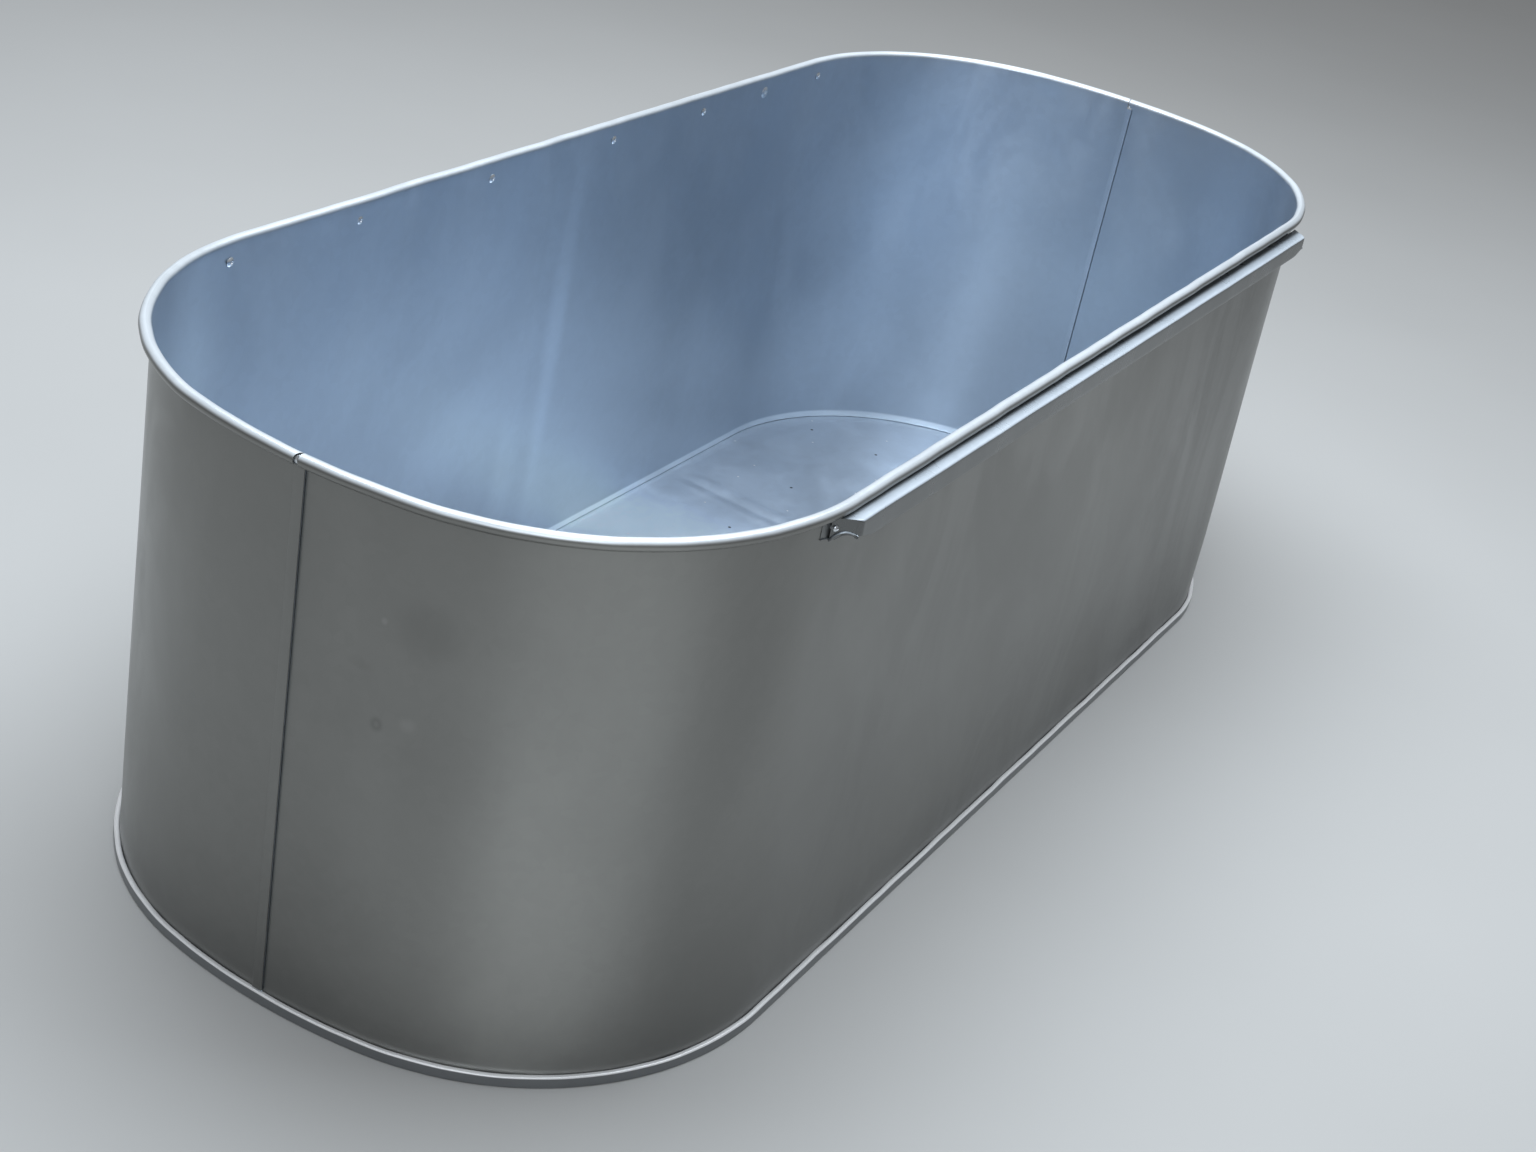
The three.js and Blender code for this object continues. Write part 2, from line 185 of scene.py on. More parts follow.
def joined(parts):
    """Several (vertices, faces) pairs as one."""
    verts, faces = [], []
    for part_verts, part_faces in parts:
        start = len(verts)
        verts += list(part_verts)
        faces += [tuple(start + i for i in face) for face in part_faces]
    return np.array(verts), faces


# ---------------------------------------------------------------- the plan and the walls' lean


def stepped(start, stop, step):
    """Evenly spaced values from start to stop, at most step apart and at least three of them."""
    return np.linspace(start, stop, max(2, math.ceil((stop - start) / step)) + 1)


def quarter_plan(joint):
    """Stations [x, y, facing] of a quarter of the plan, from a seam to the middle of a side."""
    first = math.asin(SEAM_FLAT / END_RADIUS)
    rows = [[LENGTH / 2, joint, 0], [LENGTH / 2, (joint + SEAM_FLAT) / 2, 0]]
    start = DENTED_START / END_RADIUS
    angles = np.concatenate([
        stepped(first, start, END_STEP / END_RADIUS),
        stepped(start, ARC_MEETING, DENTED_STEP / END_RADIUS)[1:],
    ])
    for angle in angles:
        rows.append([END_X + END_RADIUS * math.cos(angle), END_RADIUS * math.sin(angle), angle])
    finish = ARC_MEETING + DENTED_CORNER / CORNER_RADIUS
    angles = np.concatenate([
        stepped(ARC_MEETING, finish, DENTED_STEP / CORNER_RADIUS)[1:],
        stepped(finish, math.pi / 2, CORNER_STEP / CORNER_RADIUS)[1:],
    ])
    for angle in angles:
        x = CORNER_X + CORNER_RADIUS * math.cos(angle)
        y = CORNER_Y + CORNER_RADIUS * math.sin(angle)
        rows.append([x, y, angle])
    runs = math.ceil(CORNER_X / SIDE_STEP)
    for x in np.linspace(CORNER_X, 0, runs + 1)[1:]:
        rows.append([x, WIDTH / 2, math.pi / 2])
    return np.array(rows)


def half_plan(joint=0.0):
    """Stations [x, y, facing] round the left half, from the far seam to the near seam."""
    far = quarter_plan(joint)
    near = far[-2::-1] * [-1, 1, -1] + [0, 0, math.pi]
    return np.vstack([far, near])


def leaned(points):
    """The walls spring inward at the sides and outward at the ends on the way up."""
    rise = points[..., 2] / RIM_HEIGHT
    out = points.copy()
    out[..., 0] *= 1 + RIM_LENGTHENING * rise
    out[..., 1] *= 1 - RIM_NARROWING * rise
    return out


def turned(points, side):
    """The left side's points, or the same points turned half round to make the right side's."""
    return points * [SIDES[side], SIDES[side], 1]


def wall_setback(along):
    """How far the wall has curved away from its flat side at a place along X."""
    past = np.clip(np.abs(along) - CORNER_X, 0, CORNER_RADIUS)
    return CORNER_RADIUS - np.sqrt(CORNER_RADIUS**2 - past**2)


# ---------------------------------------------------------------- walls

# Lock seam, as places along the end and outward from the wall's outer face.
PRESSED = 0.0009
LAYER = PRESSED + 0.00015
OVER_FOLD, OVER_STEP, UNDER_FOLD, LOCK_ROOT = -0.002, 0.0095, 0.0075, 0.014
LOCK_BOTTOM = BASE_SEAM_HEIGHT + 0.0015
LOCK_TOP = RIM_HEIGHT - RIM_RADIUS - 0.001
RIM_NOTCH = 0.004

# Dents and ripples in the walls: side, distance round the wall from the near seam, height,
# reach along and up, and how far the sheet stands out there.
DENTS = [
    ("right", 0.099, 0.356, 0.009, 0.009, -0.0018),
    ("right", 0.099, 0.356, 0.005, 0.005, 0.0012),
    ("right", 0.116, 0.352, 0.024, 0.018, 0.0016),
    ("right", 0.078, 0.404, 0.016, 0.006, 0.0010),
    ("right", 0.092, 0.396, 0.006, 0.014, -0.0008),
    ("right", 0.170, 0.330, 0.070, 0.110, -0.0011),
    ("right", 0.290, 0.250, 0.060, 0.240, 0.0010),
    ("left", 0.162, 0.560, 0.012, 0.010, 0.0006),
    ("left", 0.803, 0.560, 0.040, 0.050, 0.0012),
    ("left", 0.712, 0.470, 0.045, 0.160, -0.0014),
    ("left", 1.040, 0.300, 0.020, 0.300, -0.0011),
    ("left", 1.082, 0.330, 0.011, 0.260, 0.0011),
    ("left", 1.118, 0.300, 0.010, 0.280, -0.0009),
    ("left", 1.160, 0.280, 0.030, 0.300, 0.0007),
    ("left", 1.420, 0.300, 0.080, 0.220, 0.0014),
    ("right", 1.300, 0.300, 0.180, 0.150, 0.0022),
    ("right", 0.840, 0.250, 0.150, 0.140, -0.0020),
    ("right", 1.050, 0.420, 0.050, 0.060, 0.0010),
]


def wall_relief(side, around, height):
    """How far the sheet stands out from its true surface."""
    relief = np.zeros(np.broadcast(around, height).shape)
    for where, place, level, reach, rise, depth in DENTS:
        if where == side:
            far = ((around - place) / reach) ** 2 + ((height - level) / rise) ** 2
            relief = relief + depth * np.exp(-far)
    phase = 0.0 if side == "left" else 1.7
    waves = np.sin(around * 9.1 + phase) * np.sin(height * 11 + 2 * phase)
    waves = waves + 0.6 * np.sin(around * 17.3 + 3 * height + phase)
    waves = waves + 0.35 * np.sin(around * 31 - 7 * height + 2 * phase)
    held = smooth_step(0, 0.12, height) * smooth_step(0, 0.10, RIM_HEIGHT - height)
    relief = relief + 0.0007 * waves * held
    return relief


def seam_hold(around, length):
    """0 at the lock seams, which keep the sheet true, and 1 away from them."""
    return smooth_step(0.02, 0.06, np.minimum(around, length - around))


def bead_wobble(side, around):
    """The rolled rim was closed by hand, so it isn't quite even."""
    phase = 0.4 if side == "left" else 2.1
    wobble = np.sin(around * 47 + phase) + 0.7 * np.sin(around * 83 + 2 * phase)
    return 0.00022 * (wobble + 0.5 * np.sin(around * 131 + phase))


def wall_section():
    """The sheet's middle line [outward, height], from its hook at the base to the rolled edge."""
    middle = SHEET / 2
    hook_in, hook_top = 0.0028, 0.0105
    foot = [
        [hook_in + middle, hook_top],
        [hook_in + middle, WALL_FOOT + middle],
        [-middle, WALL_FOOT + middle],
        [-middle, DENTED_LEVELS[0]],
    ]
    line = subdivided(rounded(foot, 0.0009, 4), WALL_STEP)
    levels = np.concatenate([
        stepped(DENTED_LEVELS[0], DENTED_LEVELS[1], DENTED_STEP)[1:],
        stepped(DENTED_LEVELS[1], RIM_HEIGHT, WALL_STEP)[1:],
    ])
    line = np.vstack([line, np.column_stack([np.full_like(levels, -middle), levels])])
    angles = np.linspace(math.pi, -0.75 * math.pi, 30)[1:]
    radius = RIM_RADIUS - middle
    roll = np.column_stack([np.cos(angles), np.sin(angles)]) * radius
    return thickened(np.vstack([line, roll + [RIM_CENTRE, RIM_HEIGHT]]), SHEET)


def swept_wall(side):
    """The wall sheet itself. Its near edge is cut back where the lock seam's strip takes over,
    and notched at the rim."""
    plan = half_plan(RIM_JOINT / 2)
    section = wall_section()
    steps = np.hypot(*np.diff(plan[:, :2], axis=0).T)
    around = np.concatenate([[0], np.cumsum(steps)])
    length = around[-1]
    from_near = length - around if side == "left" else around
    outward, height = section[None, :, 0], section[None, :, 1]
    place = from_near[:, None]
    relief = wall_relief(side, place, np.clip(height, 0, RIM_HEIGHT))
    relief = relief * seam_hold(place, length) * smooth_step(0.012, 0.05, height)
    on_rim = smooth_step(RIM_HEIGHT - 0.02, RIM_HEIGHT, height)
    shift = outward + relief + bead_wobble(side, place) * on_rim
    x = plan[:, None, 0] + shift * np.cos(plan[:, None, 2])
    y = plan[:, None, 1] + shift * np.sin(plan[:, None, 2])
    z = np.broadcast_to(height, x.shape)
    in_seam = (x < 0) & (z > LOCK_BOTTOM) & (z < LOCK_TOP)
    y = np.where(in_seam, np.maximum(y, OVER_STEP - SHEET / 2), y)
    cut_back = RIM_NOTCH * smooth_step(0.002, 0.011, outward) * (z > LOCK_TOP)
    y = np.where((x < 0) & (place < 0.001), y + cut_back, y)
    return loft(turned(leaned(np.stack([x, y, z], axis=-1)), side))


def over_hook():
    """The upper sheet, stepped outward over the lower one and folded in behind its hook."""
    middle = PRESSED / 2
    cover = 3 * LAYER - middle
    return [
        [LOCK_ROOT, -SHEET / 2],
        [OVER_STEP - middle, -SHEET / 2],
        [OVER_STEP - middle, cover],
        [OVER_FOLD + middle, cover],
        [OVER_FOLD + middle, LAYER - middle],
        [UNDER_FOLD - 0.002, LAYER - middle],
    ]


def under_hook():
    """The lower sheet, folded back over itself."""
    middle = PRESSED / 2
    hook = 2 * LAYER - middle
    return [
        [-LOCK_ROOT, -SHEET / 2],
        [UNDER_FOLD - middle, -SHEET / 2],
        [UNDER_FOLD - middle, hook],
        [OVER_FOLD + 0.002, hook],
    ]


def seam_strip(hook, end, side):
    """A hook raised on the far end (1) or the near end (-1) of a side's wall."""
    outline = thickened(rounded(hook, 0.0007, 4), PRESSED)
    levels = np.linspace(LOCK_BOTTOM, LOCK_TOP, 24)
    x = np.broadcast_to(end * (LENGTH / 2 + outline[:, 1]), (len(levels), len(outline)))
    y = np.broadcast_to(-end * outline[:, 0], x.shape)
    z = np.broadcast_to(levels[:, None], x.shape)
    return loft(turned(leaned(np.stack([x, y, z], axis=-1)), side))


def build_wall(side):
    parts = [swept_wall(side), seam_strip(over_hook(), -1, side), seam_strip(under_hook(), 1, side)]
    piece = make_object(f"wall_{side}", *joined(parts))
    return fitted(piece, f"wall_sheet_{side}", "galvanised_wall")


# ---------------------------------------------------------------- floor


def half_width(x, offset):
    """Half the plan's width at a place along X, with the plan moved outward by offset."""
    past = np.abs(x)
    side = np.full_like(past, WIDTH / 2 + offset)
    corner = CORNER_Y + np.sqrt(np.clip((CORNER_RADIUS + offset) ** 2 - (past - CORNER_X) ** 2, 0, 1))
    end = np.sqrt(np.clip((END_RADIUS + offset) ** 2 - (past - END_X) ** 2, 0, 1))
    meeting = END_X + (END_RADIUS + offset) * math.cos(ARC_MEETING)
    return np.where(past <= CORNER_X, side, np.where(past <= meeting, corner, end))


# Creases across the floor: place along X, reach and height.
CREASES = [(0.350, 0.008, 0.0007), (0.366, 0.006, -0.0007), (0.384, 0.010, 0.0008)]


def floor_relief(x, y):
    """How far the floor sheet stands off the ground."""
    swell = 0.5 + 0.5 * np.sin(3.1 * x + 1.0) * np.cos(4.3 * y + 0.6)
    relief = 0.0014 * swell + 0.0005 * (1 + np.sin(9.7 * x + 5.1 * y))
    for place, reach, height in CREASES:
        line = place + 0.05 * y + 0.002 * np.sin(23 * y)
        relief = relief + height * np.exp(-(((x - line) / reach) ** 2))
    edge = half_width(x, 0.0) - np.abs(y)
    edge = np.minimum(edge, LENGTH / 2 - np.abs(x))
    rim = 0.0009 * np.exp(-(((edge - 0.016) / 0.006) ** 2))
    held = smooth_step(0.004, 0.05, edge)
    pucker = np.sin(41 * x + 2 * y) * np.sin(33 * y - 3 * x)
    return relief * held + rim * (0.6 + 0.4 * pucker) * smooth_step(0.002, 0.012, edge)


def floor_pan():
    """The floor sheet, tucked a little under the walls. Its mesh is finer across the creases."""
    tuck = 0.0015
    shortened = 1e-5
    reach = LENGTH / 2 + tuck - shortened
    bulk = np.linspace(-1, 1, 190)
    x = reach * np.sin(bulk * math.pi / 2)
    x = np.unique(np.concatenate([x, np.linspace(0.325, 0.415, 60)]))
    across = np.sin(np.linspace(-1, 1, 121) * math.pi / 2)
    y = across[None, :] * half_width(x, tuck)[:, None]
    x = np.broadcast_to(x[:, None], y.shape)
    relief = np.clip(floor_relief(x, y), -0.0003, None)
    top = np.stack([x, y, SHEET + relief], axis=-1)
    bottom = np.stack([x, y, np.clip(relief, 0, None)], axis=-1)
    return loft(np.concatenate([top, bottom[:, ::-1]], axis=1))


def base_fold():
    """The floor's edge, carried out past the walls, up, over and down again round their foot."""
    middle = SHEET / 2
    hook_in, hook_bottom = 0.0001, 0.004
    line = [
        [-0.0008, middle],
        [BASE_LIP_OUT - middle, middle],
        [BASE_LIP_OUT - middle, BASE_SEAM_HEIGHT - middle],
        [hook_in + middle, BASE_SEAM_HEIGHT - middle],
        [hook_in + middle, hook_bottom],
    ]
    section = thickened(subdivided(rounded(line, 0.0014, 6), 0.004), SHEET)
    half = half_plan()
    plan = np.vstack([half[:-1], half[:-1] * [-1, -1, 1] + [0, 0, math.pi]])
    steps = np.hypot(*np.diff(plan[:, :2], axis=0).T)
    around = np.concatenate([[0], np.cumsum(steps)])[:, None]
    wobble = np.sin(around * 39) + 0.7 * np.sin(around * 67 + 1) + 0.6 * np.sin(around * 113)
    lift = smooth_step(0.003, BASE_SEAM_HEIGHT, section[None, :, 1])
    shift = section[None, :, 0] + 0.00022 * wobble * lift
    x = plan[:, None, 0] + shift * np.cos(plan[:, None, 2])
    y = plan[:, None, 1] + shift * np.sin(plan[:, None, 2])
    z = np.broadcast_to(section[None, :, 1], x.shape)
    return loft(leaned(np.stack([x, y, z], axis=-1)), closed=True)


def build_floor():
    piece = make_object("floor_pan", *joined([floor_pan(), base_fold()]), sharp_degrees=50)
    return fitted(piece, "floor_sheet", "galvanised_floor")


# ---------------------------------------------------------------- side rails

RAIL_TOP, RAIL_BOTTOM, RAIL_WIDTH, RAIL_FALL = 0.010, -0.013, 0.022, 0.0005
RAIL_TAB = 0.028
RAIL_LIP_RISE, RAIL_LIP_END = 0.004, 0.004
CAP_RISE = 0.0065
CAP_RUN = 0.034
RAIL_NOSE = 0.016


def rail_frame(side):
    """The rail's half length, and the place and turn of its own frame, from its node's box."""
    low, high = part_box(f"side_rail_{side}")
    half = (high.x - low.x) / 2 - RAIL_TAB
    near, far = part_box(f"rail_rivet_{side}_1"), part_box(f"rail_rivet_{side}_{RIVETS}")
    ends = [(box[0] + box[1]) / 2 for box in (near, far)]
    run = ends[1] - ends[0]
    centre = (ends[0] + ends[1]) / 2
    outward = WIDTH / 2 * (1 - RIM_NARROWING * centre.z / RIM_HEIGHT)
    place = Vector((centre.x * SIDES[side], outward, centre.z))
    turn = Euler((WALL_LEAN, -math.atan2(run.z, run.x * SIDES[side]), 0))
    matrix = Matrix.Translation(place) @ turn.to_matrix().to_4x4()
    if side == "right":
        matrix = Matrix.Rotation(math.pi, 4, "Z") @ matrix
    return half, matrix, place.x


def rail_section():
    """The channel's outline [outward, height]: web, top flange, outer face and arched lower lip."""
    middle = SHEET / 2
    lip = [
        [RAIL_WIDTH - middle - (RAIL_WIDTH - middle - RAIL_LIP_END) * share,
         RAIL_BOTTOM + middle + RAIL_LIP_RISE * math.sin(math.pi * share)]
        for share in np.linspace(0, 1, 9)
    ]
    head = [
        [GAP + middle, RAIL_BOTTOM],
        [GAP + middle, RAIL_TOP - middle],
        [RAIL_WIDTH - middle, RAIL_TOP - RAIL_FALL - middle],
    ]
    return thickened(subdivided(rounded(head + lip, 0.0019, 6), 0.004), SHEET)


def rail_channel(half):
    """The rail's channel. At each end its lower edge rises, its outer face turns in a little
    and its end runs at a slant."""
    section = rail_section()
    run = np.linspace(0, CAP_RUN, 18)
    x = np.concatenate([-half + run, np.linspace(-half + CAP_RUN, half - CAP_RUN, 60)[1:-1],
                        (half - run)[::-1]])
    near_end = smooth_step(half - CAP_RUN, half, np.abs(x))[:, None]
    outward, height = section[None, :, 0], section[None, :, 1]
    low = np.clip((0.002 - height) / (0.002 - RAIL_BOTTOM), 0, 1)
    lift = CAP_RISE * near_end**1.3 * low * np.clip(outward / RAIL_WIDTH, 0, 1)
    turn_in = 0.003 * smooth_step(half - 0.005, half, np.abs(x))[:, None] ** 2
    sway = 0.0004 * np.sin(x * 9.0)[:, None] + 0.0002 * np.sin(x * 31.0)[:, None]
    share = np.clip(outward / RAIL_WIDTH, 0, 1)
    ramp = np.clip((np.abs(x) - half + CAP_RUN) / CAP_RUN, 0, 1)
    nose = (np.sign(x) * ramp * RAIL_NOSE)[:, None] * (1 - share)
    grid = [x[:, None] + nose, outward - (turn_in + np.abs(sway)) * share, height + lift]
    return loft(np.stack(grid, axis=-1))


def cap_edge(share):
    """The arched lower edge of a rail's cap, from the wall (0) to the outer corner (1)."""
    outward = GAP + (RAIL_WIDTH - 0.003 - GAP) * share
    arch = 0.0075 * math.sin(math.pi * min(1, share * 1.02)) ** 0.8
    return outward, RAIL_BOTTOM + CAP_RISE * share + arch * (1 - 0.35 * share)


def tube(path, radius, sides=10):
    """A closed tube along a path of points, with rounded ends."""
    path = np.array(path, float)
    run = np.gradient(path, axis=0)
    run /= np.linalg.norm(run, axis=1)[:, None]
    never_along = np.array([0.31, 0.17, 0.93])
    a = np.cross(run, never_along)
    a /= np.linalg.norm(a, axis=1)[:, None]
    b = np.cross(run, a)
    angles = np.linspace(0, 2 * math.pi, sides, endpoint=False)
    girth = np.full(len(path), radius)
    girth[0] = girth[-1] = radius * 0.55
    ring = a[:, None] * np.cos(angles)[None, :, None] + b[:, None] * np.sin(angles)[None, :, None]
    return loft(path[:, None] + ring * girth[:, None, None])


def rail_end(half, end, shift):
    """The cap, its hemmed edge and the tab that one end of a rail is riveted by."""
    middle = SHEET / 2
    shares = np.linspace(0, 1, 15)
    edge = [cap_edge(s) for s in shares]
    top = [(o, RAIL_TOP - RAIL_FALL * s - middle) for s, (o, _) in zip(shares, edge)]
    nose = [RAIL_NOSE * (1 - share) for share in shares]
    face = np.array([
        [[end * (x + n), o, h] for n, (o, h) in zip(nose + nose[::-1], [*edge, *top[::-1]])]
        for x in (half - SHEET - 0.0004, half - 0.0004)
    ])
    hem_path = [[end * (half + n + 0.0002), o, h] for n, (o, h) in zip(nose, edge)]
    tab_x = np.linspace(half - 0.010, half + RAIL_TAB, 14)
    back = -wall_setback(end * tab_x + shift) + GAP + middle
    taper = smooth_step(half + 0.006, half + RAIL_TAB, tab_x)
    tab_low = RAIL_BOTTOM + 0.004 * taper
    tab_high = RAIL_TOP - 0.0015 - 0.002 * taper
    plate = np.array([
        [[end * x, o - middle, low], [end * x, o - middle, high],
         [end * x, o + middle, high], [end * x, o + middle, low]]
        for x, o, low, high in zip(tab_x, back, tab_low, tab_high)
    ])
    hem_tab = [[end * x, o + middle + 0.0003, low + 0.0005]
               for x, o, low in zip(tab_x[::-1][:-4], back[::-1][:-4], tab_low[::-1][:-4])]
    corner_out, corner_low = edge[-1]
    ring = [[end * (half + 0.0012), corner_out + 0.0014 * math.cos(a), corner_low + 0.0014 * math.sin(a)]
            for a in np.linspace(-0.5 * math.pi, 1.4 * math.pi, 16)]
    return [loft(face), tube(hem_path, 0.0014), loft(plate), tube(hem_tab, 0.0009), tube(ring, 0.0007)]


def build_rail(side):
    half, matrix, shift = rail_frame(side)
    parts = [rail_channel(half)]
    for end in (-1, 1):
        parts += rail_end(half, end, shift)
    piece = make_object(f"rail_{side}", *joined(parts))
    piece.data.transform(matrix)
    return fitted(piece, f"side_rail_{side}", "galvanised_rail")


# ---------------------------------------------------------------- rivets and rim wires


def rivet_profile(radius, reach):
    """Blind rivet as [radius, place outward]: a bored, domed head and the set tail outside."""
    foot = -SHEET - GAP / 2 - reach
    crown = foot - 0.0019
    tail = GAP + SHEET
    return [
        [0.0, foot - 0.0006],
        [0.0009, foot - 0.0006],
        [0.0015, crown + 0.0001],
        [0.0018, crown - 0.0001],
        [radius * 0.45, crown - 0.00005],
        [radius * 0.72, foot - 0.00125],
        [radius * 0.92, foot - 0.0006],
        [radius, foot - 0.0002],
        [radius * 0.98, foot],
        [0.0025, foot],
        [0.0025, tail],
        [0.0036, tail + 0.0008],
        [0.0037, tail + 0.0020],
        [0.0029, tail + 0.0034],
        [0.0017, tail + 0.0040],
        [0.0013, tail + 0.0030],
        [0.0, tail + 0.0028],
    ]


def build_rivet(side, number):
    node = f"rail_rivet_{side}_{number}"
    low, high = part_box(node)
    centre = (low + high) / 2
    radius = (high.z - low.z) / 2
    reach = float(wall_setback(np.array(abs(centre.x) + radius)))
    profile = rivet_profile(radius, reach)
    turns = np.linspace(0, 2 * math.pi, 28, endpoint=False)
    verts = [[r * math.cos(a), out, r * math.sin(a)] for r, out in profile for a in turns]
    count = len(turns)
    faces = [(i * count + j, i * count + (j + 1) % count,
              (i + 1) * count + (j + 1) % count, (i + 1) * count + j)
             for i in range(len(profile) - 1) for j in range(count)]
    piece = make_object(f"rivet_{side}_{number}", verts, faces, sharp_degrees=50)
    outward = WIDTH / 2 * (1 - RIM_NARROWING * centre.z / RIM_HEIGHT)
    matrix = Matrix.Translation((centre.x, SIDES[side] * outward, centre.z))
    if side == "right":
        matrix = matrix @ Matrix.Rotation(math.pi, 4, "Z")
    piece.data.transform(matrix @ Matrix.Rotation(WALL_LEAN, 4, "X"))
    return fitted(piece, node, "rivet_steel")


def build_wire(side):
    plan = half_plan(0.001)
    radius = RIM_RADIUS - SHEET - GAP
    angles = np.linspace(0, 2 * math.pi, 14, endpoint=False)
    outward = RIM_CENTRE + radius * np.cos(angles)[None, :]
    height = RIM_HEIGHT + radius * np.sin(angles)[None, :]
    x = plan[:, None, 0] + outward * np.cos(plan[:, None, 2])
    y = plan[:, None, 1] + outward * np.sin(plan[:, None, 2])
    z = np.broadcast_to(height, x.shape)
    verts, faces = loft(turned(leaned(np.stack([x, y, z], axis=-1)), side))
    piece = make_object(f"rim_rod_{side}", verts, faces, sharp_degrees=50)
    return fitted(piece, f"rim_wire_{side}", "rim_wire_steel")


# ---------------------------------------------------------------- materials


def fitted(piece, node, slot):
    """Puts a piece in its CAD node's place."""
    piece.data.materials.append(FINISHES[slot])
    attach(piece, "root")
    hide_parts(node)
    return piece


class Nodes:
    """A material's node tree, with short calls for the nodes that the finishes share."""

    def __init__(self, name):
        self.material = bpy.data.materials.new(name)
        self.material.use_nodes = True
        self.tree = self.material.node_tree
        self.shader = self.tree.nodes["Principled BSDF"]
        self.place = self.tree.nodes.new("ShaderNodeTexCoord").outputs["Object"]

    def link(self, source, target):
        self.tree.links.new(source, target)

    def stretched(self, scale, turn=(0, 0, 0)):
        node = self.tree.nodes.new("ShaderNodeMapping")
        node.inputs["Scale"].default_value = scale
        node.inputs["Rotation"].default_value = turn
        self.link(self.place, node.inputs["Vector"])
        return node.outputs["Vector"]

    def noise(self, scale, detail=3.0, roughness=0.5, distortion=0.0, place=None):
        node = self.tree.nodes.new("ShaderNodeTexNoise")
        node.inputs["Scale"].default_value = scale
        node.inputs["Detail"].default_value = detail
        node.inputs["Roughness"].default_value = roughness
        node.inputs["Distortion"].default_value = distortion
        self.link(place or self.place, node.inputs["Vector"])
        return node.outputs["Fac"]

    def crystals(self, scale):
        """A grain pattern, with one grey for each cell."""
        node = self.tree.nodes.new("ShaderNodeTexVoronoi")
        node.inputs["Scale"].default_value = scale
        self.link(self.place, node.inputs["Vector"])
        split = self.tree.nodes.new("ShaderNodeSeparateColor")
        self.link(node.outputs["Color"], split.inputs["Color"])
        return split.outputs["Red"]

    def spots(self, scale, size):
        """1 inside scattered round spots on a level surface and 0 outside."""
        node = self.tree.nodes.new("ShaderNodeTexVoronoi")
        node.voronoi_dimensions = "2D"
        node.inputs["Scale"].default_value = scale
        self.link(self.place, node.inputs["Vector"])
        return self.between(node.outputs["Distance"], size, size * 0.6, 0, 1)

    def between(self, value, low, high, out_low, out_high):
        """A smooth step from out_low, where value is low, to out_high, where it is high."""
        node = self.tree.nodes.new("ShaderNodeMapRange")
        node.interpolation_type = "SMOOTHSTEP"
        for key, number in zip(("From Min", "From Max", "To Min", "To Max"),
                               (low, high, out_low, out_high)):
            node.inputs[key].default_value = number
        self.link(value, node.inputs["Value"])
        return node.outputs["Result"]

    def maths(self, kind, a, b):
        """A sum, product or the like; a and b are each a number or a socket."""
        node = self.tree.nodes.new("ShaderNodeMath")
        node.operation = kind
        for socket, value in zip(node.inputs, (a, b)):
            if isinstance(value, (int, float)):
                socket.default_value = value
            else:
                self.link(value, socket)
        return node.outputs["Value"]

    def mixed(self, factor, a, b):
        """From colour a at 0 to colour b at 1; each is a triple or a socket."""
        node = self.tree.nodes.new("ShaderNodeMix")
        node.data_type = "RGBA"
        self.link(factor, node.inputs[0])
        for socket, value in ((node.inputs[6], a), (node.inputs[7], b)):
            if isinstance(value, tuple):
                socket.default_value = (*value, 1)
            else:
                self.link(value, socket)
        return node.outputs[2]

    def bump(self, height, strength, distance):
        node = self.tree.nodes.new("ShaderNodeBump")
        node.inputs["Strength"].default_value = strength
        node.inputs["Distance"].default_value = distance
        self.link(height, node.inputs["Height"])
        self.link(node.outputs["Normal"], self.shader.inputs["Normal"])

    def tinted(self, colour, factor):
        """A colour made lighter or darker by a factor."""
        node = self.tree.nodes.new("ShaderNodeVectorMath")
        node.operation = "SCALE"
        self.link(colour, node.inputs[0])
        self.link(factor, node.inputs["Scale"])
        return node.outputs["Vector"]

    def height(self):
        return self.split(self.place)["Z"]

    def split(self, vector):
        node = self.tree.nodes.new("ShaderNodeSeparateXYZ")
        self.link(vector, node.inputs["Vector"])
        return node.outputs

    def facing(self):
        """How far the surface faces away from the trough's middle, and how far it faces up."""
        texture = self.tree.nodes.new("ShaderNodeTexCoord")
        place, normal = self.split(self.place), self.split(texture.outputs["Normal"])
        along = self.maths("MULTIPLY", place["X"], normal["X"])
        across = self.maths("MULTIPLY", place["Y"], normal["Y"])
        return self.maths("ADD", along, across), normal["Z"]

    def zone(self, centre, reach):
        """1 at the middle of a soft patch and 0 beyond its reach."""
        node = self.tree.nodes.new("ShaderNodeMapping")
        node.vector_type = "POINT"
        node.inputs["Location"].default_value = [-c / r for c, r in zip(centre, reach)]
        node.inputs["Scale"].default_value = [1 / r for r in reach]
        self.link(self.place, node.inputs["Vector"])
        size = self.tree.nodes.new("ShaderNodeVectorMath")
        size.operation = "LENGTH"
        self.link(node.outputs["Vector"], size.inputs[0])
        return self.between(size.outputs["Value"], 1.0, 0.0, 0, 1)


